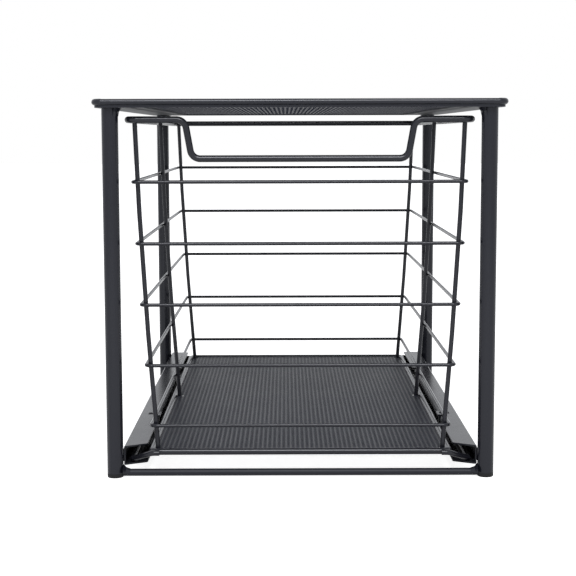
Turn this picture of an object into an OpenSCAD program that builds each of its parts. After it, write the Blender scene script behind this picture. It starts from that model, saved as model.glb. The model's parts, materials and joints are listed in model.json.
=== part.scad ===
// Pull out cabinet basket: a welded rack of four posts under a mesh deck, with a wire basket that
// slides out to the front on two side rods held in the rack's runners.
// Millimetres. X is to the right, the front is at -Y, Z is up, the floor is at Z = 0.

/* [Rack] */
// Width over the top rim
rack_w = 292; // [240:1:400]
// Depth over the top rim
rack_d = 445; // [380:1:600]
// Height from the floor to the top of the rim
rack_h = 271.5; // [240:0.5:400]
// From the rim's outer side in to the post
post_inset = 6.15; // [4:0.05:12]
// Post tube, outer diameter
post_d = 11.7; // [9:0.1:16]
// Post tube wall
post_wall = 1; // [0.6:0.1:2]
// Height of the small hole in the inner side of each front post
post_hole_z = 84.5; // [40:0.5:160]
// Diameter of that hole
post_hole_d = 2.4; // [1:0.1:4]

/* [Feet and floor bars] */
// Height of the foot cap below the tube
foot_h = 3; // [2:0.1:8]
// Length of the foot's stem inside the tube
foot_stem_h = 10; // [5:0.5:20]
// Edge round of the foot
foot_round = 0.8; // [0.3:0.1:1.5]
// Floor bar diameter
bar_d = 5.2; // [3:0.1:8]
// Gap between a floor bar and the floor
bar_clear = 0.7; // [0.3:0.1:3]

/* [Top] */
// Rim rod diameter
rim_d = 3.6; // [2.5:0.1:6]
// Bend radius at the rim's corners, on the rod's axis
rim_bend_r = 5; // [3:0.5:12]
// Height of the flat band under the rim rod
band_h = 2.6; // [2:0.1:6]
// Thickness of the band
band_t = 2.4; // [1.5:0.1:4]
// From the rim's outer side in to the band
band_inset = 1.4; // [0.5:0.1:1.7]
// Width of the plain strip along each side, under the mesh
strip_w = 32; // [24:0.5:50]
// Thickness of the strip
strip_t = 1; // [0.6:0.1:2]

/* [Mesh sheets] */
// Thickness of the mesh sheets
mesh_t = 0.8; // [0.5:0.1:1.5]
// Distance from rib to rib
mesh_pitch = 3.45; // [3:0.05:12]
// Width of each opening between ribs
mesh_gap = 2.2; // [1:0.1:6]
// Cross bars of a sheet, its two edges included
mesh_bars = 9; // [2:1:13]
// Width of a cross bar between openings
mesh_bar_w = 3; // [2:0.5:10]
// Plain edge round a mesh sheet
mesh_edge = 3; // [2:0.5:10]

/* [Runners] */
// Height of the runner's underside above the floor
runner_z = 8.1; // [8:0.1:20]
// Height of the runner
runner_h = 14.1; // [13:0.1:20]
// Width of the runner's flanges
runner_w = 16.45; // [15:0.05:18]
// Sheet thickness
runner_t = 1.2; // [0.8:0.1:1.6]
// From the front post's axis back to the runner's front end
runner_setback = 2.5; // [0:0.5:10]
// From the rear post's axis back to the runner's rear end
runner_tail = 9.5; // [0:0.5:11]
// How far the slanted nose of the flanges runs back
runner_nose = 8.5; // [3:0.5:14]
// Round of the nose's inner corner
runner_nose_r = 2.5; // [1:0.1:3]
// From the runner's front end back to the folded lip of the top flange
lip_setback = 68; // [40:1:90]
// Width of the flange's margin that is folded down as the lip
lip_w = 4.8; // [3.5:0.1:5.5]
// Angle of the lip below the flange
lip_angle = 62; // [40:1:70]
// Height of the tab that closes the runner's rear end
end_tab_h = 10.6; // [6:0.1:12]
// How far that tab reaches in past the flanges
end_tab_reach = 1.6; // [0:0.1:3]
// Inner radius at the foot of that tab
end_bend_r = 2.5; // [0.8:0.1:4]

/* [Basket] */
// From a runner's inner edge to the base wire
side_gap = 1.6; // [0.8:0.1:8]
// From a post's inner side to the rim wire
rim_gap = 4.2; // [1:0.1:12]
// From each end of the rack in to the basket's rim wire
basket_inset = 9.5; // [8:0.5:30]
// From the rim wire up to the strips under the deck
headroom = 5.8; // [2:0.1:60]
// From the runner's underside up to the axis of the base wire
base_rise = 10.4; // [9:0.1:12]
// From the axis of the base wire down to the axis of the cross wires
cross_drop = 1.8; // [0:0.1:2.4]
// How far the side walls bow out between the rim and the base
wall_bow = 1.3; // [0:0.1:3]
// Diameter of the rim, handle and base wires
rail_d = 4.8; // [3:0.1:5.4]
// Corner bend radius of the rim and base wires, on the axis
rail_bend_r = 6; // [4:0.5:6.5]
// Diameter of the hoops
hoop_d = 2.6; // [1.5:0.1:4]
// Corner bend radius of the hoops, on the axis
hoop_bend_r = 4; // [2.5:0.5:6]
// Part of a hoop step that is left between the last hoop and the base wire
hoop_rest = 0.43; // [0.3:0.01:1]
// Diameter of the uprights, which run on under the floor
upright_d = 3.4; // [2:0.1:4]
// Bend radius where an upright turns under the floor, on the axis
upright_bend_r = 3; // [2.5:0.1:6]
// From the basket's inner end face to the nearest upright
upright_setback = 3; // [2:0.5:10]

/* [Handle] */
// Width between the handle's bends at rim height
handle_top_w = 162.6; // [100:0.5:200]
// Width between the handle's lower bends
handle_base_w = 152.8; // [80:0.5:190]
// Drop of the handle below the rim
handle_drop = 27.5; // [22:0.5:36]
// Bend radius of the handle, on the axis
handle_bend_r = 7; // [4:0.5:9]

/* [Slide] */
// Diameter of the side rods that run in the runners
slide_d = 4; // [3:0.1:4.4]
// Distance that the basket pulls out
slide_travel = 228; // [150:1:235]
// From the middle of the rack back to where a side rod turns in to the basket
slide_tail = 140; // [130:1:155]
// From where a side rod turns out at the front to the base wire's outer side
slide_turn_in = 3; // [1:0.1:5]
// Length of the side rod that lies along the front base wire
slide_lap = 5.3; // [4:0.1:20]
// From the runner's web to the side rod
slide_web_gap = 2.5; // [1:0.1:5]
// Width of the stop tab pressed down out of each runner's top flange
tab_w = 8; // [5:0.5:10]
// From the flange's inner edge to the tab
tab_inset = 1.9; // [1.5:0.1:4]
// Inner radius of the tab's bend
tab_bend_r = 0.8; // [0.4:0.1:2]

/* [Hidden] */
$fn = 48;

// A wire's straights end inside its bends, which are this much thicker, so that they always join
bend_lap = 0.15;
bend_swell = 0.02;

// Clearances
weld_gap = 0.1;   // between pieces that are welded or seated on each other
run_gap = 0.3;    // between the side rod and the runner's floor
pass_gap = 0.5;   // where a moving piece passes or meets a stop
hole_gap = 0.2;   // round a stem, across
slit = 0.8;       // cut in a sheet beside a folded piece

// Welds
bar_flare_w = 3.4;    // foot of the flare on a floor bar, out from the bar
bar_flare_l = 5;      // its length along the bar
post_flare_w = 2.6;   // foot of the flare at a post's top, out from the post
post_flare_h = 6;     // its height
flare_knee_w = 0.35;  // where a flare's slope changes, as parts of its width and length
flare_knee_l = 0.4;
bead_r = 1;           // bead between a post and its runner
bead_end = 2.5;       // from the runner's faces to the bead's ends

// Posts
post_x = rack_w / 2 - post_inset - post_d / 2;
post_y = rack_d / 2 - post_inset - post_d / 2;
post_in_x = post_x - post_d / 2;

// Top, from the rim rod down
rim_z = rack_h - rim_d / 2;
band_top_z = rack_h - rim_d - weld_gap;
band_z = band_top_z - band_h;
band_out_x = rack_w / 2 - band_inset;
band_out_y = rack_d / 2 - band_inset;
band_round = rim_bend_r;
strip_z = band_z;
top_mesh_z = strip_z + strip_t + weld_gap / 2;
deck_x = band_out_x - band_t - weld_gap;
deck_y = band_out_y - band_t - weld_gap;
post_top_z = strip_z - weld_gap;

// Floor bars
bar_z = bar_clear + bar_d / 2;

// Runners
runner_out_x = post_in_x - weld_gap;
runner_in_x = runner_out_x - runner_w;
runner_front_y = -(post_y - runner_setback);
runner_rear_y = post_y + runner_tail;
runner_floor_z = runner_z + runner_t;
runner_roof_z = runner_z + runner_h - runner_t;
runner_bend_r = runner_t;
fold_x = runner_in_x + lip_w;
lip_bend_r = runner_t / 2;
lip_straight = lip_w - (lip_bend_r + runner_t / 2) * lip_angle * PI / 180;
lip_front_y = runner_front_y + lip_setback;
lip_rear_y = slide_tail - 15;
end_tab_in_x = runner_in_x - end_tab_reach;
end_tab_out_x = runner_out_x - runner_t - slit;
end_foot_y = runner_rear_y - runner_t - end_bend_r;

// Basket walls: the inner side of every rim, hoop and base wire lies on them. The side walls
// taper and bow out between two knees of the uprights, midway between hoops.
rim_wire_z = strip_z - headroom - rail_d / 2;
base_wire_z = runner_z + base_rise;
wall_top_x = post_in_x - rim_gap - rail_d;
wall_base_x = runner_in_x - side_gap - rail_d;
wall_y = rack_d / 2 - basket_inset - rail_d;
hoop_count = 5;
hoop_step = (rim_wire_z - base_wire_z) / (hoop_count + hoop_rest);
function hoop_z(i) = rim_wire_z - hoop_step * i;
knee_top_z = hoop_z(1.5);
knee_base_z = hoop_z(3.5);
knee_r = 100;
function bow(z) = wall_bow * min(
    1,
    (rim_wire_z - z) / (rim_wire_z - knee_top_z),
    (z - base_wire_z) / (knee_base_z - base_wire_z)
);
function wall_x(z) = wall_base_x + bow(z)
    + (wall_top_x - wall_base_x) * (z - base_wire_z) / (rim_wire_z - base_wire_z);
rail_y = wall_y + rail_d / 2;
upright_y = wall_y - upright_setback - upright_d / 2;
function upright_x(z) = wall_x(z) - weld_gap - upright_d / 2;
upright_top_z = rim_wire_z + 1;

// The floor mesh lies on the cross wires
cross_z = base_wire_z - cross_drop;
floor_z = cross_z + upright_d / 2 + weld_gap;

// Side rods
slide_z = runner_floor_z + run_gap + slide_d / 2;
slide_x = runner_out_x - runner_t - slide_web_gap - slide_d / 2;
slide_front_y = -(rail_y + rail_d / 2 + weld_gap + slide_d / 2);
slide_mouth_y = runner_front_y + slide_d + 1;
slide_turn_x = runner_in_x - side_gap - slide_turn_in;
slide_bend_r = 4;
slide_tail_run = 8;

// Stop tabs: a tab's rear face meets the side rod's turned-in end when the basket is out
tab_z = slide_z + slide_d / 2 + pass_gap;
tab_rear_y = slide_tail - slide_travel - pass_gap;
tab_root_y = tab_rear_y + tab_bend_r;
tab_drop = runner_roof_z - tab_bend_r - tab_z;
tab_window = (tab_bend_r + runner_t / 2) * PI / 2 + tab_drop;
tab_margin = 3;

finish = "#2b2c30";
plastic = "#1d1d1f";

// ---- wire shapes -------------------------------------------------------------------------

function unit(v) = v / norm(v);
function turn(a, b, c) = acos(unit(b - a) * unit(c - b));
function cut_back(a, b, c, r) = r * tan(turn(a, b, c) / 2);
function side_of(w) = abs(w[2]) < 0.9 ? unit(cross([0, 0, 1], w)) : unit(cross([0, 1, 0], w));

// Places children with their X, Y and Z along u, v and w at point p
module frame_at(u, v, w, p)
    multmatrix([
        [u[0], v[0], w[0], p[0]],
        [u[1], v[1], w[1], p[1]],
        [u[2], v[2], w[2], p[2]],
        [0, 0, 0, 1]
    ]) children();

// Straight wire from a to b
module straight(a, b, d) {
    w = unit(b - a);
    u = side_of(w);
    frame_at(u, cross(w, u), w, a) cylinder(d = d, h = norm(b - a));
}

// Round bend at b on the way from a to c, with radius r on the axis
module bend(a, b, c, r, d) {
    w = unit(b - a);
    n = unit(cross(w, unit(c - b)));
    u = cross(w, n);
    start = b - w * cut_back(a, b, c, r);
    frame_at(u, w, n, start - u * r)
        rotate_extrude(angle = turn(a, b, c))
            translate([r, 0]) circle(d = d + bend_swell);
}

// Closed wire through points p, with a bend radius r[i] at each
module wire_loop(p, r, d) {
    n = len(p);
    for (i = [0 : n - 1]) {
        a = p[(i + n - 1) % n];
        b = p[i];
        c = p[(i + 1) % n];
        e = p[(i + 2) % n];
        way = unit(c - b);
        from = cut_back(a, b, c, r[i]) - bend_lap;
        to = cut_back(b, c, e, r[(i + 1) % n]) - bend_lap;
        straight(b + way * from, c - way * to, d);
        bend(a, b, c, r[i], d);
    }
}

// Open wire through points p, with a bend radius r[i] at each inner one
module wire_path(p, r, d) {
    n = len(p);
    for (i = [0 : n - 2]) {
        b = p[i];
        c = p[i + 1];
        way = unit(c - b);
        from = i == 0 ? 0 : cut_back(p[i - 1], b, c, r[i]) - bend_lap;
        to = i == n - 2 ? 0 : cut_back(b, c, p[i + 2], r[i + 1]) - bend_lap;
        straight(b + way * from, c - way * to, d);
        if (i > 0) bend(p[i - 1], b, c, r[i], d);
    }
}

// Rectangle of points at height z
function ring(x, y, z) = [[-x, -y, z], [x, -y, z], [x, y, z], [-x, y, z]];

module at_left() mirror([1, 0, 0]) children();

// ---- rack --------------------------------------------------------------------------------

// Post tube on the Z axis, with the hole in its inner side at -X
module post(hole) color(finish) difference() {
    translate([0, 0, foot_h]) cylinder(d = post_d, h = post_top_z - foot_h);
    translate([0, 0, foot_h - 1]) cylinder(d = post_d - 2 * post_wall, h = rack_h);
    if (hole)
        translate([0, 0, post_hole_z]) rotate([0, -90, 0]) cylinder(d = post_hole_d, h = post_d);
}

module post_front_right() translate([post_x, -post_y, 0]) post(true);
module post_front_left() at_left() post_front_right();
module post_rear_right() translate([post_x, post_y, 0]) post(false);
module post_rear_left() at_left() post_rear_right();

// Foot cap with a stem that plugs the tube
module foot() color(plastic) {
    stem_r = post_d / 2 - post_wall - hole_gap / 2;
    r = post_d / 2;
    cap_h = foot_h - weld_gap;
    rotate_extrude() {
        square([r - foot_round, cap_h]);
        translate([0, foot_round]) square([r, cap_h - foot_round]);
        intersection() {
            translate([r - foot_round, foot_round]) circle(foot_round);
            square([r, foot_round]);
        }
        translate([0, cap_h]) square([stem_r, foot_stem_h]);
    }
}

module foot_front_right() translate([post_x, -post_y, 0]) foot();
module foot_front_left() at_left() foot_front_right();
module foot_rear_right() translate([post_x, post_y, 0]) foot();
module foot_rear_left() at_left() foot_rear_right();

// Floor bar between two posts, its ends coped to fit the tubes
module floor_bar() color(finish) difference() {
    translate([-post_x, 0, bar_z]) rotate([0, 90, 0]) cylinder(d = bar_d, h = 2 * post_x);
    for (s = [-1, 1])
        translate([s * post_x, 0, -1]) cylinder(r = post_d / 2 + weld_gap, h = 4 * bar_d);
}

module floor_bar_front() translate([0, -post_y, 0]) floor_bar();
module floor_bar_rear() translate([0, post_y, 0]) floor_bar();

// Profile of a weld flare round a radius r: foot width w, length l
module flare_profile(r, w, l)
    polygon([
        [r + weld_gap, 0],
        [r + w, 0],
        [r + w * flare_knee_w, l * flare_knee_l],
        [r + weld_gap, l]
    ]);

// Weld flare on top of each end of the floor bars, running up the post
module bar_weld() difference() {
    translate([-post_in_x, 0, bar_z]) rotate([90, 0, 0]) rotate([0, 90, 0])
        rotate_extrude(angle = 180) flare_profile(bar_d / 2, bar_flare_w, bar_flare_l);
    translate([-post_x, 0, -1]) cylinder(r = post_d / 2 + weld_gap, h = 4 * bar_d);
}

// They end below the runners
module bar_welds() color(finish) difference() {
    for (y = [-post_y, post_y]) translate([0, y, 0]) {
        bar_weld();
        mirror([1, 0, 0]) bar_weld();
    }
    translate([-post_x, runner_front_y - weld_gap, runner_z - weld_gap])
        cube([2 * post_x, runner_rear_y - runner_front_y + 2 * weld_gap, runner_h]);
}

// ---- top ---------------------------------------------------------------------------------

module top_rim() color(finish) {
    x = rack_w / 2 - rim_d / 2;
    y = rack_d / 2 - rim_d / 2;
    wire_loop(ring(x, y, rim_z), [for (i = [0 : 3]) rim_bend_r], rim_d);
}

module rounded(x, y, r) {
    square([2 * x - 2 * r, 2 * y], center = true);
    square([2 * x, 2 * y - 2 * r], center = true);
    for (sx = [-1, 1], sy = [-1, 1])
        translate([sx * (x - r), sy * (y - r)]) circle(r);
}

module top_band() color(finish) translate([0, 0, band_z]) linear_extrude(band_h) difference() {
    rounded(band_out_x, band_out_y, band_round);
    rounded(band_out_x - band_t, band_out_y - band_t, band_round - band_t);
}

// Openings of a mesh sheet of half width x and half depth y, as columns of slots between ribs
module mesh_openings(x, y) {
    columns = floor((2 * (x - mesh_edge) - mesh_gap) / mesh_pitch) + 1;
    rows = mesh_bars - 1;
    row_step = (2 * (y - mesh_edge) + mesh_bar_w) / rows;
    for (i = [0 : columns - 1], j = [0 : rows - 1])
        translate([(i - (columns - 1) / 2) * mesh_pitch, (j - (rows - 1) / 2) * row_step])
            square([mesh_gap, row_step - mesh_bar_w], center = true);
}

// The deck is open only between the side strips, which back its plain margins
module top_mesh() color(finish) translate([0, 0, top_mesh_z]) linear_extrude(mesh_t) difference() {
    rounded(deck_x, deck_y, band_round - band_t);
    mesh_openings(deck_x - strip_w, deck_y);
}

module top_strip_right() color(finish)
    translate([0, 0, strip_z]) linear_extrude(strip_t) intersection() {
        rounded(deck_x, deck_y, band_round - band_t);
        translate([deck_x - strip_w, -deck_y]) square([strip_w, 2 * deck_y]);
    }
module top_strip_left() at_left() top_strip_right();

// Weld flare on the inner side of each post, under the strip
module post_top_weld() translate([0, 0, post_top_z]) mirror([0, 0, 1]) rotate([0, 0, 120])
    rotate_extrude(angle = 120) flare_profile(post_d / 2, post_flare_w, post_flare_h);

module post_top_welds() color(finish)
    for (y = [-post_y, post_y]) {
        translate([post_x, y, 0]) post_top_weld();
        at_left() translate([post_x, y, 0]) post_top_weld();
    }

// ---- runners -----------------------------------------------------------------------------

// C section open towards the basket, drawn with its web at the right
module runner_section() difference() {
    union() {
        translate([runner_in_x, runner_z]) square([runner_w - runner_bend_r, runner_h]);
        translate([runner_in_x, runner_z + runner_bend_r])
            square([runner_w, runner_h - 2 * runner_bend_r]);
        for (z = [runner_z + runner_bend_r, runner_z + runner_h - runner_bend_r])
            translate([runner_out_x - runner_bend_r, z]) circle(runner_bend_r);
    }
    translate([runner_in_x - 1, runner_floor_z])
        square([runner_w - runner_t + 1, runner_roof_z - runner_floor_z]);
}

// Outline seen from above: the front edge slants back from the web to a rounded inner corner
module runner_plan() {
    r = runner_nose_r;
    slant = atan2(runner_nose, runner_w - runner_t);
    centre = [runner_in_x + r, runner_front_y + runner_nose + r * tan((90 - slant) / 2)];
    polygon([
        centre,
        [runner_in_x, centre[1]],
        [runner_in_x, runner_rear_y],
        [runner_out_x, runner_rear_y],
        [runner_out_x, runner_front_y],
        [runner_out_x - runner_t, runner_front_y],
        centre - r * [sin(slant), cos(slant)]
    ]);
    translate(centre) circle(r);
}

// Quarter of a folded sheet's bend, centred at the origin, for inner radius r
module bend_quarter(r) difference() {
    intersection() {
        circle(r + runner_t);
        square(r + runner_t);
    }
    circle(r);
}

// Folded lip: bend and straight, seen along the runner
module lip_section() translate([fold_x, runner_roof_z - lip_bend_r]) {
    r = lip_bend_r + runner_t;
    intersection() {
        difference() {
            circle(r);
            circle(lip_bend_r);
        }
        translate([-r, 0]) square(r);
        rotate(lip_angle) square(r);
    }
    rotate(lip_angle) translate([-lip_straight, lip_bend_r]) square([lip_straight, runner_t]);
}

// The lip runs on both sides of the stop tab's window
module lip_spans() for (y = [
        [lip_front_y, tab_root_y - tab_window - tab_margin],
        [tab_root_y + tab_margin, lip_rear_y]
    ]) translate([0, y[1], 0]) rotate([90, 0, 0]) linear_extrude(y[1] - y[0]) children();

// Side view of the stop tab: out of the flange, round a quarter bend and straight down
module tab_profile() {
    translate([tab_root_y, runner_roof_z]) square([1, runner_t]);
    translate([tab_root_y, runner_roof_z - tab_bend_r]) mirror([1, 0]) bend_quarter(tab_bend_r);
    translate([tab_rear_y - runner_t, tab_z]) square([runner_t, tab_drop]);
}

// Side view of the tab folded up from the bottom flange at the rear end
module end_tab_profile() {
    foot_z = runner_floor_z + end_bend_r;
    translate([end_foot_y - 1, runner_z]) square([1, runner_t]);
    translate([end_foot_y, foot_z]) mirror([0, 1]) bend_quarter(end_bend_r);
    translate([runner_rear_y - runner_t, foot_z])
        square([runner_t, runner_z + end_tab_h - foot_z]);
}

module runner_right() color(finish) {
    top_z = runner_roof_z - 1;
    difference() {
        intersection() {
            translate([0, runner_rear_y, 0]) rotate([90, 0, 0])
                linear_extrude(runner_rear_y - runner_front_y) runner_section();
            linear_extrude(2 * (runner_z + runner_h)) runner_plan();
        }
        lip_spans() translate([runner_in_x - 1, top_z]) square([lip_w + 1, runner_h]);
        translate([runner_in_x + tab_inset, tab_root_y - tab_window, top_z])
            cube([tab_w, tab_window, runner_h]);
        translate([runner_in_x - 1, end_foot_y, runner_z - 1])
            cube([end_tab_out_x + slit - runner_in_x + 1, runner_h, runner_h / 2]);
    }
    lip_spans() lip_section();
    translate([runner_in_x + tab_inset, 0, 0]) rotate([90, 0, 90])
        linear_extrude(tab_w) tab_profile();
    translate([end_tab_in_x, 0, 0]) rotate([90, 0, 90])
        linear_extrude(end_tab_out_x - end_tab_in_x) end_tab_profile();
}
module runner_left() at_left() runner_right();

// Weld bead in the crease between each post and its runner
module runner_welds() color(finish) {
    x = runner_out_x + bead_r + weld_gap / 2;
    y = post_y - sqrt(pow(post_d / 2 + bead_r + weld_gap / 2, 2) - pow(post_x - x, 2));
    for (sx = [-1, 1], sy = [-1, 1])
        translate([sx * x, sy * y, runner_z + bead_end])
            cylinder(r = bead_r, h = runner_h - 2 * bead_end);
}

// ---- basket ------------------------------------------------------------------------------

// Rim wire: one closed loop whose front dips to form the handle
module basket_rim() color(finish) {
    x = wall_top_x + rail_d / 2;
    z = rim_wire_z;
    low = z - handle_drop;
    wire_loop(
        [
            [-x, -rail_y, z],
            [-handle_top_w / 2, -rail_y, z], [-handle_base_w / 2, -rail_y, low],
            [handle_base_w / 2, -rail_y, low], [handle_top_w / 2, -rail_y, z],
            [x, -rail_y, z], [x, rail_y, z], [-x, rail_y, z]
        ],
        [
            rail_bend_r, handle_bend_r, handle_bend_r, handle_bend_r, handle_bend_r,
            rail_bend_r, rail_bend_r, rail_bend_r
        ],
        rail_d
    );
}

// Hoop i, counted from the rim down, round the outside of the uprights
module basket_hoop(i) color(finish) {
    z = hoop_z(i);
    x = wall_x(z) + hoop_d / 2;
    y = wall_y + hoop_d / 2;
    wire_loop(ring(x, y, z), [for (k = [0 : 3]) hoop_bend_r], hoop_d);
}

// One wire: down the left wall, under the floor and up the right wall
module cross_wire(y) color(finish) {
    down = [upright_top_z, knee_top_z, knee_base_z, cross_z];
    wire_path(
        [
            for (z = down) [-upright_x(z), y, z],
            for (i = [3 : -1 : 0]) [upright_x(down[i]), y, down[i]]
        ],
        [0, knee_r, knee_r, upright_bend_r, upright_bend_r, knee_r, knee_r, 0], upright_d
    );
}

module cross_wire_front() cross_wire(-upright_y);
module cross_wire_middle() cross_wire(0);
module cross_wire_rear() cross_wire(upright_y);

module basket_base() color(finish)
    wire_loop(
        ring(wall_base_x + rail_d / 2, rail_y, base_wire_z),
        [for (i = [0 : 3]) rail_bend_r], rail_d
    );

// Floor sheet inside the base wire, notched round the uprights
module basket_mesh() color(finish) {
    x = wall_base_x - 2 * weld_gap;
    y = wall_y - 2 * weld_gap;
    notch_x = upright_x(cross_z) - upright_bend_r - weld_gap;
    notch_w = upright_d + 4 * weld_gap;
    translate([0, 0, floor_z]) linear_extrude(mesh_t) difference() {
        rounded(x, y, rail_bend_r - rail_d / 2);
        mesh_openings(notch_x - mesh_edge, y);
        for (s = [-1, 1], k = [-upright_y, 0, upright_y])
            translate([s * (notch_x + x), k]) square([2 * x, notch_w], center = true);
    }
}

// Side rod: along the front wire, out into the runner, back, and in under the side wire
module slide_rod_right() color(finish) difference() {
    rail_x = wall_base_x + rail_d / 2;
    wire_path(
        [
            [slide_turn_x - slide_lap, slide_front_y, base_wire_z],
            [slide_turn_x, slide_front_y, base_wire_z],
            [slide_x, slide_mouth_y, slide_z],
            [slide_x, slide_tail, slide_z],
            [rail_x, slide_tail + slide_tail_run, base_wire_z - slide_d / 2]
        ],
        [for (i = [0 : 4]) slide_bend_r], slide_d
    );
    translate([rail_x, 0, base_wire_z]) rotate([-90, 0, 0])
        cylinder(r = rail_d / 2 + weld_gap, h = rail_y);
}
module slide_rod_left() at_left() slide_rod_right();

// ---- nodes -------------------------------------------------------------------------------

post_front_left();
post_front_right();
post_rear_left();
post_rear_right();
foot_front_left();
foot_front_right();
foot_rear_left();
foot_rear_right();
floor_bar_front();
floor_bar_rear();
bar_welds();
top_rim();
top_band();
top_mesh();
top_strip_left();
top_strip_right();
post_top_welds();
runner_left();
runner_right();
runner_welds();
basket_rim();
basket_hoop(1);  // basket_hoop_1
basket_hoop(2);  // basket_hoop_2
basket_hoop(3);  // basket_hoop_3
basket_hoop(4);  // basket_hoop_4
basket_hoop(5);  // basket_hoop_5
cross_wire_front();
cross_wire_middle();
cross_wire_rear();
basket_base();
basket_mesh();
slide_rod_left();
slide_rod_right();
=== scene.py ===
import json
from math import cos, pi, radians, sin, sqrt

import bpy
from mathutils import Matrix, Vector


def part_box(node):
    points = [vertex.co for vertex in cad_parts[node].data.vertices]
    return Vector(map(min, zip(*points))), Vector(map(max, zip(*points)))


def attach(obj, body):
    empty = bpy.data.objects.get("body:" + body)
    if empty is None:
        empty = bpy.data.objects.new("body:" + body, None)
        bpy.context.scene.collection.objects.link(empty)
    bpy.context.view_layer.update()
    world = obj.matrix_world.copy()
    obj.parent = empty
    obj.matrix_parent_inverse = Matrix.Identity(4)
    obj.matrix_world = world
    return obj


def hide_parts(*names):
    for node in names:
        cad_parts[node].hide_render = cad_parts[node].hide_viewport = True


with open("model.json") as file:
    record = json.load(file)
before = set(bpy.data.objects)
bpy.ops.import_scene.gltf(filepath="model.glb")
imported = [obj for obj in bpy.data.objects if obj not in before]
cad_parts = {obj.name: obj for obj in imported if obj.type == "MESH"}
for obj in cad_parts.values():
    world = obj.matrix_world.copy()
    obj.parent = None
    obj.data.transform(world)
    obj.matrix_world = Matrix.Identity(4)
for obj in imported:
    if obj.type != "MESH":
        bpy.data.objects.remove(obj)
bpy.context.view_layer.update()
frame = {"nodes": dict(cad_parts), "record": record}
mm = 0.001

# the camera comes first: it fixes the view that the rest is made for

camera = {
    'place': (-10.13 * mm, -1186.5 * mm, 247.4 * mm),
    'turn': (83.57, 0.148, -0.101),      # degrees, nearly level and straight on
    'lens': 85.95,
    'sensor': 36.0,
    'farEnd': 60,                        # metres that it sees
}


def makeCamera():
    bpy.ops.object.camera_add(location=camera['place'],
                              rotation=[radians(a) for a in camera['turn']])
    cam = bpy.context.object
    cam.name = 'camera'
    cam.data.lens = camera['lens']
    cam.data.sensor_width = camera['sensor']
    cam.data.clip_end = camera['farEnd']
    bpy.context.scene.camera = cam


# small helpers

def clearSelection():
    if bpy.context.object and bpy.context.object.mode != 'OBJECT':
        bpy.ops.object.mode_set(mode='OBJECT')
    bpy.ops.object.select_all(action='DESELECT')


def pickOnly(piece):
    clearSelection()
    piece.select_set(True)
    bpy.context.view_layer.objects.active = piece


def editWhole(piece):
    pickOnly(piece)
    bpy.ops.object.mode_set(mode='EDIT')
    bpy.ops.mesh.select_all(action='SELECT')


def addModifier(piece, kind, name, **settings):
    modifier = piece.modifiers.new(name, kind)
    for key, value in settings.items():
        setattr(modifier, key, value)


def applyModifiers(piece):
    pickOnly(piece)
    for modifier in list(piece.modifiers):
        bpy.ops.object.modifier_apply(modifier=modifier.name)


def placeInMesh(piece):
    pickOnly(piece)
    bpy.ops.object.transform_apply(location=True, rotation=True, scale=True)


def selectFaces(piece, test):
    # test gets the middle of a face
    pickOnly(piece)
    mesh = piece.data
    for group in (mesh.vertices, mesh.edges, mesh.polygons):
        group.foreach_set('select', [False] * len(group))
    for face in mesh.polygons:
        face.select = test(face.center)
    bpy.ops.object.mode_set(mode='EDIT')
    bpy.ops.mesh.select_mode(type='FACE')


def smoothPiece(piece, angle):
    pickOnly(piece)
    bpy.ops.object.shade_smooth_by_angle(angle=radians(angle))


def finishPiece(piece, body, slot, material, *nodes):
    placeInMesh(piece)
    piece.data.materials.clear()
    piece.data.materials.append(material)
    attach(piece, body)
    if nodes:
        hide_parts(*nodes)


# the coat, one shader group for all materials

def newGroup(name, inputs, outputs):
    group = bpy.data.node_groups.new(name, 'ShaderNodeTree')
    for socket, kind, value in inputs:
        s = group.interface.new_socket(socket, in_out='INPUT', socket_type=kind)
        s.default_value = value
    for socket, kind in outputs:
        group.interface.new_socket(socket, in_out='OUTPUT', socket_type=kind)
    return group


def addNode(tree, kind, place, **settings):
    node = tree.nodes.new(kind)
    node.location = place
    for key, value in settings.items():
        setattr(node, key, value)
    return node


def mathNode(tree, operation, place, a, b):
    node = addNode(tree, 'ShaderNodeMath', place, operation=operation)
    for socket, value in zip(node.inputs, (a, b)):
        if hasattr(value, 'node'):
            tree.links.new(value, socket)
        else:
            socket.default_value = value
    return node.outputs[0]


coatLook = {
    'gloss': 22,             # scale of the slow drifts of gloss
    'glossChange': 0.08,     # roughness from their shiniest to their dullest place
    'peelChange': 0.08,      # the same for the orange peel
    'specks': 420,           # scale of the dust
    'speckStart': 0.58,      # noise at which a speck begins, and where it is full
    'speckFull': 0.75,
    'dustColor': (0.35, 0.34, 0.33, 1),
    'bump': 0.02 * mm,
}


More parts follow.
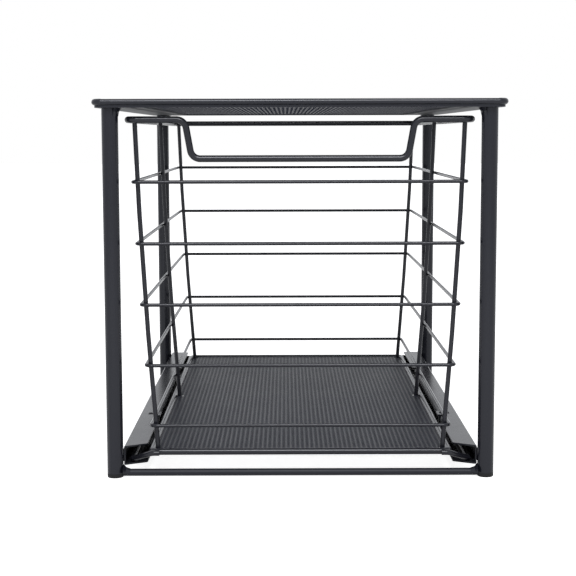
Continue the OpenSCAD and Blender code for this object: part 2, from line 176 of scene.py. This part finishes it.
def makeCoatGroup():
    # powder coat: a fine orange peel, slow drifts of gloss, and a little dust on what faces up
    f, c = 'NodeSocketFloat', 'NodeSocketColor'
    t = newGroup('powderCoat',
                 [('Tint', c, (0.02, 0.02, 0.022, 1)), ('Rough', f, 0.25),
                  ('Peel Size', f, 900), ('Peel Depth', f, 0.3), ('Dust', f, 0.1)],
                 [('Color', c), ('Roughness', f), ('Height', f)])
    gin = addNode(t, 'NodeGroupInput', (-900, 0))
    gout = addNode(t, 'NodeGroupOutput', (700, 0))
    coord = addNode(t, 'ShaderNodeTexCoord', (-900, -300))

    peel = addNode(t, 'ShaderNodeTexNoise', (-600, -100))
    peel.inputs['Detail'].default_value = 2
    t.links.new(coord.outputs['Object'], peel.inputs['Vector'])
    t.links.new(gin.outputs['Peel Size'], peel.inputs['Scale'])

    drift = addNode(t, 'ShaderNodeTexNoise', (-600, -350))
    drift.inputs['Scale'].default_value = coatLook['gloss']
    drift.inputs['Detail'].default_value = 3
    t.links.new(coord.outputs['Object'], drift.inputs['Vector'])

    speck = addNode(t, 'ShaderNodeTexNoise', (-600, -600))
    speck.inputs['Scale'].default_value = coatLook['specks']
    speck.inputs['Detail'].default_value = 4
    t.links.new(coord.outputs['Object'], speck.inputs['Vector'])

    # a little rougher where the drift or the peel is high, a little smoother where it is low
    rough = gin.outputs['Rough']
    for noise, change, x, y in ((drift, coatLook['glossChange'], 0, -350),
                                (peel, coatLook['peelChange'], 200, -150)):
        part = mathNode(t, 'MULTIPLY_ADD', (-300, y), noise.outputs['Fac'], change)
        part.node.inputs[2].default_value = -change / 2
        rough = mathNode(t, 'ADD', (x, -250), rough, part)
    t.links.new(rough, gout.inputs['Roughness'])

    # dust lies on top: specks that pass a threshold, weighted by how far the surface faces up
    geo = addNode(t, 'ShaderNodeNewGeometry', (-600, 300))
    split = addNode(t, 'ShaderNodeSeparateXYZ', (-400, 300))
    t.links.new(geo.outputs['Normal'], split.inputs['Vector'])
    upward = mathNode(t, 'MAXIMUM', (-200, 300), split.outputs['Z'], 0)
    flecks = addNode(t, 'ShaderNodeMapRange', (-300, -600))
    flecks.inputs['From Min'].default_value = coatLook['speckStart']
    flecks.inputs['From Max'].default_value = coatLook['speckFull']
    t.links.new(speck.outputs['Fac'], flecks.inputs['Value'])
    dust = mathNode(t, 'MULTIPLY', (0, 100), upward, flecks.outputs['Result'])
    dust = mathNode(t, 'MULTIPLY', (200, 100), dust, gin.outputs['Dust'])

    mix = addNode(t, 'ShaderNodeMix', (420, 150), data_type='RGBA')
    t.links.new(dust, mix.inputs['Factor'])
    t.links.new(gin.outputs['Tint'], mix.inputs['A'])
    mix.inputs['B'].default_value = coatLook['dustColor']
    t.links.new(mix.outputs['Result'], gout.inputs['Color'])

    height = mathNode(t, 'MULTIPLY', (200, -50), peel.outputs['Fac'], gin.outputs['Peel Depth'])
    t.links.new(height, gout.inputs['Height'])
    return t


def coatMaterial(name, values):
    mat = bpy.data.materials.new(name)
    mat.use_nodes = True
    t = mat.node_tree
    t.nodes.clear()
    out = addNode(t, 'ShaderNodeOutputMaterial', (600, 0))
    shader = addNode(t, 'ShaderNodeBsdfPrincipled', (300, 0))
    group = addNode(t, 'ShaderNodeGroup', (-200, 0), node_tree=coatGroup)
    bump = addNode(t, 'ShaderNodeBump', (60, -250))
    bump.inputs['Distance'].default_value = coatLook['bump']
    for key, value in values['group'].items():
        group.inputs[key].default_value = value
    t.links.new(group.outputs['Color'], shader.inputs['Base Color'])
    t.links.new(group.outputs['Roughness'], shader.inputs['Roughness'])
    t.links.new(group.outputs['Height'], bump.inputs['Height'])
    t.links.new(bump.outputs['Normal'], shader.inputs['Normal'])
    t.links.new(shader.outputs['BSDF'], out.inputs['Surface'])
    shader.inputs['IOR'].default_value = values['ior']
    shader.inputs['Specular Tint'].default_value = values['glint']
    return mat


# 'glint' tints the reflections, as the coat is a blue black
coats = {
    'rackSteel': {'ior': 1.41, 'glint': (0.93, 0.95, 1, 1),
                  'group': {'Tint': (0.010, 0.0105, 0.0155, 1), 'Rough': 0.22,
                            'Peel Size': 700, 'Peel Depth': 0.25, 'Dust': 0.04}},
    'sheetSteel': {'ior': 1.32, 'glint': (0.96, 0.97, 1, 1),
                   'group': {'Tint': (0.011, 0.0115, 0.0155, 1), 'Rough': 0.24,
                             'Peel Size': 700, 'Peel Depth': 0.2, 'Dust': 0.05}},
    'underSheet': {'ior': 1.33, 'glint': (0.96, 0.97, 1, 1),
                   'group': {'Tint': (0.011, 0.0115, 0.0155, 1), 'Rough': 0.45,
                             'Peel Size': 700, 'Peel Depth': 0.2, 'Dust': 0.0}},
    'basketWire': {'ior': 1.42, 'glint': (0.94, 0.95, 1, 1),
                   'group': {'Tint': (0.011, 0.0115, 0.0155, 1), 'Rough': 0.22,
                             'Peel Size': 900, 'Peel Depth': 0.25, 'Dust': 0.03}},
    'meshSheet': {'ior': 1.32, 'glint': (0.88, 0.91, 1, 1),
                  'group': {'Tint': (0.012, 0.0135, 0.021, 1), 'Rough': 0.38,
                            'Peel Size': 900, 'Peel Depth': 0.3, 'Dust': 0.02}},
    'deckSheet': {'ior': 1.35, 'glint': (0.88, 0.91, 1, 1),
                  'group': {'Tint': (0.012, 0.0135, 0.021, 1), 'Rough': 0.44,
                            'Peel Size': 900, 'Peel Depth': 0.3, 'Dust': 0.02}},
    'floorBar': {'ior': 1.39, 'glint': (0.93, 0.95, 1, 1),
                 'group': {'Tint': (0.010, 0.0105, 0.0155, 1), 'Rough': 0.5,
                           'Peel Size': 700, 'Peel Depth': 0.25, 'Dust': 0.0}},
    'footCap': {'ior': 1.32, 'glint': (1, 1, 1, 1),
                'group': {'Tint': (0.01, 0.01, 0.011, 1), 'Rough': 0.5,
                          'Peel Size': 1500, 'Peel Depth': 0.5, 'Dust': 0.0}},
}
coatGroup = makeCoatGroup()
finishes = {name: coatMaterial(name, values) for name, values in coats.items()}
slotFinish = {'rack_steel': 'rackSteel', 'sheet_steel': 'sheetSteel', 'basket_wire': 'basketWire',
              'mesh_sheet': 'meshSheet', 'foot_cap': 'footCap'}
nodeFinish = {'floor_bar_front': 'floorBar', 'floor_bar_rear': 'floorBar'}


def dressCadNodes():
    for part in frame['record']['subparts']:
        node = frame['nodes'][part['node']]
        finish = nodeFinish.get(part['node'], slotFinish[part['material_slot']])
        node.material_slots[0].material = finishes[finish]


# sheet pieces: the CAD shape with its edges rounded as paint rounds them

softEdges = {
    'runner_left': {'finish': 'sheetSteel', 'round': 0.2 * mm},
    'runner_right': {'finish': 'sheetSteel', 'round': 0.2 * mm},
    'top_strip_left': {'finish': 'underSheet', 'round': 0.15 * mm},
    'top_strip_right': {'finish': 'underSheet', 'round': 0.15 * mm},
}
paint = {
    'merge': 0.002 * mm,     # between points that are the same
    'flat': 2,               # degrees, up to which faces count as one
    'sharp': 40,             # from which an edge is rounded
    'smooth': 30,            # up to which the shading runs on
    'steps': 2,              # of the round
}


def mergedCopy(node):
    # a CAD mesh is loose triangles, so its copy is merged before anything else is done to it
    mesh = frame['nodes'][node].data.copy()
    piece = bpy.data.objects.new(node.replace('_', '') + 'Painted', mesh)
    bpy.context.collection.objects.link(piece)
    pickOnly(piece)
    bpy.ops.mesh.customdata_custom_splitnormals_clear()
    editWhole(piece)
    bpy.ops.mesh.remove_doubles(threshold=paint['merge'])
    bpy.ops.object.mode_set(mode='OBJECT')
    return piece


def roundEdges(piece, width):
    editWhole(piece)
    bpy.ops.mesh.dissolve_limited(angle_limit=radians(paint['flat']))
    bpy.ops.object.mode_set(mode='OBJECT')
    addModifier(piece, 'BEVEL', 'paintedEdge', width=width, segments=paint['steps'],
                limit_method='ANGLE', angle_limit=radians(paint['sharp']))
    applyModifiers(piece)
    smoothPiece(piece, paint['smooth'])
    addModifier(piece, 'WEIGHTED_NORMAL', 'flatFaces', weight=100, keep_sharp=True)
    applyModifiers(piece)


def makeSheetPieces():
    for node, values in softEdges.items():
        piece = mergedCopy(node)
        roundEdges(piece, values['round'])
        finishPiece(piece, 'rack', 'sheet_steel', finishes[values['finish']], node)
    print('sheet pieces:', len(softEdges))


# rim: a thicker rod that sinks into the band, so that no edge shows between them

rim = {
    'rod': 4.6 * mm,
    'rodSmooth': 35,         # degrees
    'bandInset': 0.6 * mm,
    'bandRound': 0.3 * mm,
}


def makeRim():
    low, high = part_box('top_rim')
    thicker = (rim['rod'] - (high.z - low.z)) / 2
    rod = mergedCopy('top_rim')
    addModifier(rod, 'DISPLACE', 'thicker', strength=thicker, mid_level=0)
    applyModifiers(rod)
    # back inside the outline that it had
    rod.scale = (high.x / (high.x + thicker), high.y / (high.y + thicker), 1)
    rod.location.z = -thicker
    smoothPiece(rod, rim['rodSmooth'])
    finishPiece(rod, 'rack', 'rack_steel', finishes['rackSteel'], 'top_rim')

    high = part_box('top_band')[1]
    band = mergedCopy('top_band')
    roundEdges(band, rim['bandRound'])
    band.scale = (1 - rim['bandInset'] / high.x, 1 - rim['bandInset'] / high.y, 1)
    finishPiece(band, 'rack', 'rack_steel', finishes['rackSteel'], 'top_band')
    print('rim made, rod', rim['rod'])


# welds where wires cross: two short stubs melted together

crossWires = ('cross_wire_front', 'cross_wire_middle', 'cross_wire_rear')
weld = {
    'reach': 1.5,            # of a stub from the crossing, in radii of the thicker wire
    'inside': 0.04 * mm,     # how far a stub lies inside its wire
    'gap': 0.1 * mm,         # between the wires before they are welded
    'corners': 20,           # round a stub
    'voxel': 0.22 * mm,
    'melt': 10,              # rounds of smoothing, and the force of each
    'meltForce': 0.5,
    'keep': 0.3,             # of the faces
    'smooth': 60,            # degrees
}


def addStub(place, direction, radius, length):
    bpy.ops.mesh.primitive_cylinder_add(vertices=weld['corners'], radius=radius, depth=length,
                                        location=place)
    stub = bpy.context.object
    stub.rotation_euler = Vector(direction).to_track_quat('Z', 'Y').to_euler()
    return stub


def joinPieces(name, pieces):
    clearSelection()
    for piece in pieces:
        piece.select_set(True)
    bpy.context.view_layer.objects.active = pieces[0]
    bpy.ops.object.join()
    whole = bpy.context.object
    whole.name = name
    return whole


def makeWeld(name, first, second):
    # first and second are (point on the axis, direction, radius) of two wires that touch
    clearSelection()
    length = 2 * weld['reach'] * max(first[2], second[2])
    stubs = [addStub(p, d, r - weld['inside'], length) for p, d, r in (first, second)]
    piece = joinPieces(name, stubs)
    placeInMesh(piece)
    addModifier(piece, 'REMESH', 'fuse', mode='VOXEL', voxel_size=weld['voxel'])
    addModifier(piece, 'SMOOTH', 'melt', factor=weld['meltForce'], iterations=weld['melt'])
    addModifier(piece, 'DECIMATE', 'thin', ratio=weld['keep'])
    applyModifiers(piece)
    return piece


def wallLean():
    # the walls lean out by this much per metre of height
    top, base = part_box('basket_hoop_1'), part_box('basket_hoop_5')
    return (top[1].x - base[1].x) / (top[1].z - base[1].z)


def makeBasketWelds():
    # the uprights stand against the inside of every ring wire, three on each side
    rings = ['basket_rim'] + ['basket_hoop_%d' % i for i in range(1, 6)] + ['basket_base']
    lean = wallLean()
    baseLow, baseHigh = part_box('basket_base')
    for ring in rings:
        low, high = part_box(ring)
        # the rim wire's box is as deep as its handle, so its radius is the base wire's
        ringRadius = min(baseHigh.z - baseLow.z, high.z - low.z) / 2
        z = high.z - ringRadius
        welds = []
        for wire in crossWires:
            wireLow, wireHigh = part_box(wire)
            radius = (wireHigh.y - wireLow.y) / 2
            y = (wireLow.y + wireHigh.y) / 2
            half = weld['reach'] * max(ringRadius, radius)
            # the stub stays on the straight part of the upright
            stubZ = min(max(z, wireLow.z + 2 * radius + half), wireHigh.z - half)
            for side in (-1, 1):
                x = side * (high.x - 2 * ringRadius - radius - weld['gap'] + lean * (stubZ - z))
                onRing = (Vector((side * (high.x - ringRadius), y, z)), (0, 1, 0), ringRadius)
                onUpright = (Vector((x, y, stubZ)), (side * lean, 0, 1), radius)
                welds.append(makeWeld('weld', onRing, onUpright))
        whole = joinPieces(ring.replace('_', '') + 'Welds', welds)
        smoothPiece(whole, weld['smooth'])
        finishPiece(whole, 'basket', 'basket_wire', finishes['basketWire'])
    print('welds made on', len(rings), 'wires')


# perforated sheets

perforation = {
    'column': 3.45 * mm,        # from column to column of holes
    'hole': 2.3 * mm,           # across a hole
    'corners': 8,               # of a hole's outline
    'shift': 0.3,               # of a row, so that no edge is cut along one
    'cutPrecision': 0.002 * mm,
    'merge': 0.02 * mm,         # between points that are the same
    'tilt': 5,                  # degrees, of a hole's edge: the strands lean as in expanded sheet
}


def perforatedSheet(name, low, high, corner, notches=()):
    # one six-sided cell with its hole, repeated in staggered columns, then cut to size;
    # corner is the whole sheet's, so that the holes of two sections meet
    column = perforation['column']
    row = column * 2 / sqrt(3)
    size = high - low
    tilt = radians(perforation['tilt'])
    relief = perforation['hole'] / 2 * sin(tilt)
    # a few cells more than fit, which the cuts take off again
    across = int(size.x / column / 2) + 2
    along = int(size.y / row) + 4
    firstRow = int((low.y - corner.y) / row) - 1
    start = ((low.x + high.x) / 2 - (across - 0.5) * column,
             corner.y + (firstRow + perforation['shift']) * row, low.z + relief)
    clearSelection()
    bpy.ops.mesh.primitive_circle_add(vertices=6, radius=row / sqrt(3), location=start)
    sheet = bpy.context.object
    sheet.name = name
    corners = perforation['corners']
    holeRadius = perforation['hole'] / 2 / sqrt(cos(pi / corners))
    bpy.ops.object.mode_set(mode='EDIT')
    bpy.ops.mesh.primitive_circle_add(vertices=corners, radius=holeRadius, location=start,
                                      rotation=(0, 0, pi / corners))
    bpy.ops.transform.rotate(value=tilt, orient_axis='X', center_override=start)
    bpy.ops.mesh.select_all(action='SELECT')
    bpy.ops.mesh.bridge_edge_loops()
    bpy.ops.mesh.select_all(action='SELECT')
    bpy.ops.mesh.duplicate_move(TRANSFORM_OT_translate={'value': (column, row / 2, 0)})
    bpy.ops.object.mode_set(mode='OBJECT')
    merge = {'use_relative_offset': False, 'use_constant_offset': True,
             'use_merge_vertices': True, 'merge_threshold': perforation['merge']}
    addModifier(sheet, 'ARRAY', 'along', count=along,
                constant_offset_displace=(0, row, 0), **merge)
    addModifier(sheet, 'ARRAY', 'across', count=across,
                constant_offset_displace=(2 * column, 0, 0), **merge)
    applyModifiers(sheet)
    placeInMesh(sheet)
    editWhole(sheet)
    bpy.ops.mesh.remove_doubles(threshold=perforation['merge'])
    for point, normal in ((low, (-1, 0, 0)), (low, (0, -1, 0)),
                          (high, (1, 0, 0)), (high, (0, 1, 0))):
        bpy.ops.mesh.select_all(action='SELECT')
        bpy.ops.mesh.bisect(plane_co=point, plane_no=normal, clear_outer=True,
                            threshold=perforation['cutPrecision'])
    for notchLow, notchHigh in notches:
        cutNotch(sheet, notchLow, notchHigh)
    bpy.ops.mesh.select_all(action='SELECT')
    thickness = size.z - 2 * relief
    bpy.ops.mesh.extrude_region_move(TRANSFORM_OT_translate={'value': (0, 0, thickness)})
    bpy.ops.mesh.select_all(action='SELECT')
    bpy.ops.mesh.normals_make_consistent(inside=False)
    bpy.ops.object.mode_set(mode='OBJECT')
    print(name, 'cells', across * along * 2, 'faces', len(sheet.data.polygons))
    return sheet


def cutNotch(sheet, low, high):
    # four cuts through the cells near the notch, then what lies inside goes
    reach = perforation['column']

    def near(point):
        return (low.x - reach < point.x < high.x + reach
                and low.y - reach < point.y < high.y + reach)

    def inside(point):
        return low.x < point.x < high.x and low.y < point.y < high.y

    for corner, normal in ((low, (1, 0, 0)), (high, (1, 0, 0)),
                           (low, (0, 1, 0)), (high, (0, 1, 0))):
        selectFaces(sheet, near)
        bpy.ops.mesh.bisect(plane_co=corner, plane_no=normal,
                            threshold=perforation['cutPrecision'])
    selectFaces(sheet, inside)
    bpy.ops.mesh.delete(type='FACE')


def sections(low, high, count):
    # a whole sheet has more faces than one piece may have, so it is made in sections
    step = (high.y - low.y) / count
    for i in range(count):
        yield (str(i + 1), Vector((low.x, low.y + i * step, low.z)),
               Vector((high.x, low.y + (i + 1) * step, high.z)))


floorSheet = {
    'sections': 2,
    'notchRoom': 0.3 * mm,   # on both sides of an upright
    'notchDepth': 2.9,       # in from the base wire's outer side, in uprights' thicknesses
    'overcut': 1 * mm,       # of a notch past the sheet's edge
}


def makeFloorSheet():
    low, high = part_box('basket_mesh')
    outer = high.x + floorSheet['overcut']
    notches = []
    for wire in crossWires:
        wireLow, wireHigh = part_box(wire)
        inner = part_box('basket_base')[1].x - (wireHigh.y - wireLow.y) * floorSheet['notchDepth']
        y0, y1 = wireLow.y - floorSheet['notchRoom'], wireHigh.y + floorSheet['notchRoom']
        for x0, x1 in ((-outer, -inner), (inner, outer)):
            notches.append((Vector((x0, y0, low.z)), Vector((x1, y1, low.z))))
    for number, a, b in sections(low, high, floorSheet['sections']):
        mine = [n for n in notches if n[1].y > a.y and n[0].y < b.y]
        sheet = perforatedSheet('floorMesh' + number, a, b, low, mine)
        finishPiece(sheet, 'basket', 'mesh_sheet', finishes['meshSheet'], 'basket_mesh')


deckSheet = {'sections': 3}


def makeDeckSheet():
    low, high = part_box('top_mesh')
    for number, a, b in sections(low, high, deckSheet['sections']):
        sheet = perforatedSheet('deckMesh' + number, a, b, low)
        finishPiece(sheet, 'rack', 'mesh_sheet', finishes['deckSheet'], 'top_mesh')


# surroundings

room = {
    'floorSize': 14,
    'floorPlace': (0, 3, -0.02 * mm),
    'floorColor': (0.86, 0.86, 0.86, 1),
    'floorRough': 0.9,
    'floorGlow': 0.85,       # lightens the shadow as the eye sees it
    'floorShine': 0.28,      # and as the steel mirrors it
    'white': 1.0,            # the backdrop, seen straight or in a reflection
    'backWall': 1.0,         # what lights the object from behind
    'frontWall': 0.5,        # and from the camera's side
    'wallBlend': 0.5,        # how far to the back and front one turns into the other
    'ceiling': 0.5,          # share of the walls' light that comes from overhead
    'ceilingFrom': 0.25,     # sine of the height at which the walls start to darken
    'ceilingFull': 0.8,      # and at which they are as dark as the ceiling
    'coolLight': (0.95, 0.967, 1, 1),
    'lampPlace': (0, -1.9, 1.9),
    'lampAim': (0, 0, 0.13),
    'lampSize': (1.0, 1.2),
    'lampPower': 44,
}


def makeFloor():
    bpy.ops.mesh.primitive_plane_add(size=room['floorSize'], location=room['floorPlace'])
    floor = bpy.context.object
    floor.name = 'studioFloor'
    mat = bpy.data.materials.new('studioWhite')
    mat.use_nodes = True
    t = mat.node_tree
    shader = t.nodes['Principled BSDF']
    shader.inputs['Base Color'].default_value = room['floorColor']
    shader.inputs['Roughness'].default_value = room['floorRough']
    path = addNode(t, 'ShaderNodeLightPath', (-500, -200))
    seen = mathNode(t, 'MULTIPLY', (-300, -100), path.outputs['Is Camera Ray'],
                    room['floorGlow'])
    mirrored = mathNode(t, 'MULTIPLY', (-300, -300), path.outputs['Is Glossy Ray'],
                        room['floorShine'])
    seen = mathNode(t, 'MAXIMUM', (-120, -200), seen, mirrored)
    seen = mathNode(t, 'MAXIMUM', (60, -200), seen, path.outputs['Is Transmission Ray'])
    shader.inputs['Emission Color'].default_value = (1, 1, 1, 1)
    t.links.new(seen, shader.inputs['Emission Strength'])
    floor.data.materials.append(mat)


def makeWorld():
    world = bpy.data.worlds.new('studio')
    bpy.context.scene.world = world
    world.use_nodes = True
    t = world.node_tree
    t.nodes.clear()
    out = addNode(t, 'ShaderNodeOutputWorld', (700, 0))
    back = addNode(t, 'ShaderNodeBackground', (500, 0))
    coord = addNode(t, 'ShaderNodeTexCoord', (-700, 0))
    split = addNode(t, 'ShaderNodeSeparateXYZ', (-500, 0))
    t.links.new(coord.outputs['Generated'], split.inputs['Vector'])
    side = addNode(t, 'ShaderNodeMapRange', (-300, 100))
    side.inputs['From Min'].default_value = -room['wallBlend']
    side.inputs['From Max'].default_value = room['wallBlend']
    side.inputs['To Min'].default_value = room['frontWall']
    side.inputs['To Max'].default_value = room['backWall']
    t.links.new(split.outputs['Y'], side.inputs['Value'])
    rise = addNode(t, 'ShaderNodeMapRange', (-300, -200))
    rise.inputs['From Min'].default_value = room['ceilingFrom']
    rise.inputs['From Max'].default_value = room['ceilingFull']
    rise.inputs['To Min'].default_value = 1
    rise.inputs['To Max'].default_value = room['ceiling']
    t.links.new(split.outputs['Z'], rise.inputs['Value'])
    sky = mathNode(t, 'MULTIPLY', (-80, 0), side.outputs['Result'], rise.outputs['Result'])

    # the eye and every reflection see the white backdrop, the object is lit by the room
    path = addNode(t, 'ShaderNodeLightPath', (-100, 300))
    shown = path.outputs['Is Camera Ray']
    for place, ray in (((50, 450), 'Is Glossy Ray'), ((50, 600), 'Is Transmission Ray')):
        shown = mathNode(t, 'MAXIMUM', place, shown, path.outputs[ray])
    pick = addNode(t, 'ShaderNodeMix', (200, 0), data_type='FLOAT')
    t.links.new(shown, pick.inputs['Factor'])
    t.links.new(sky, pick.inputs['A'])
    pick.inputs['B'].default_value = room['white']
    t.links.new(pick.outputs['Result'], back.inputs['Strength'])

    # light and reflections are a little cool, the backdrop itself isn't
    cool = addNode(t, 'ShaderNodeMix', (200, 300), data_type='RGBA')
    t.links.new(path.outputs['Is Camera Ray'], cool.inputs['Factor'])
    cool.inputs['A'].default_value = room['coolLight']
    cool.inputs['B'].default_value = (1, 1, 1, 1)
    t.links.new(cool.outputs['Result'], back.inputs['Color'])
    t.links.new(back.outputs['Background'], out.inputs['Surface'])


def makeLamps():
    place = Vector(room['lampPlace'])
    bpy.ops.object.light_add(type='AREA', location=place)
    lamp = bpy.context.object
    lamp.name = 'frontSoftbox'
    aim = Vector(room['lampAim']) - place
    lamp.rotation_euler = aim.to_track_quat('-Z', 'Y').to_euler()
    lamp.data.shape = 'RECTANGLE'
    lamp.data.size, lamp.data.size_y = room['lampSize']
    lamp.data.energy = room['lampPower']


# the scene

makeCamera()
dressCadNodes()
makeFloorSheet()
makeDeckSheet()
makeSheetPieces()
makeRim()
makeBasketWelds()
makeFloor()
makeWorld()
makeLamps()
bpy.context.scene.view_settings.view_transform = 'Standard'
print('scene made')
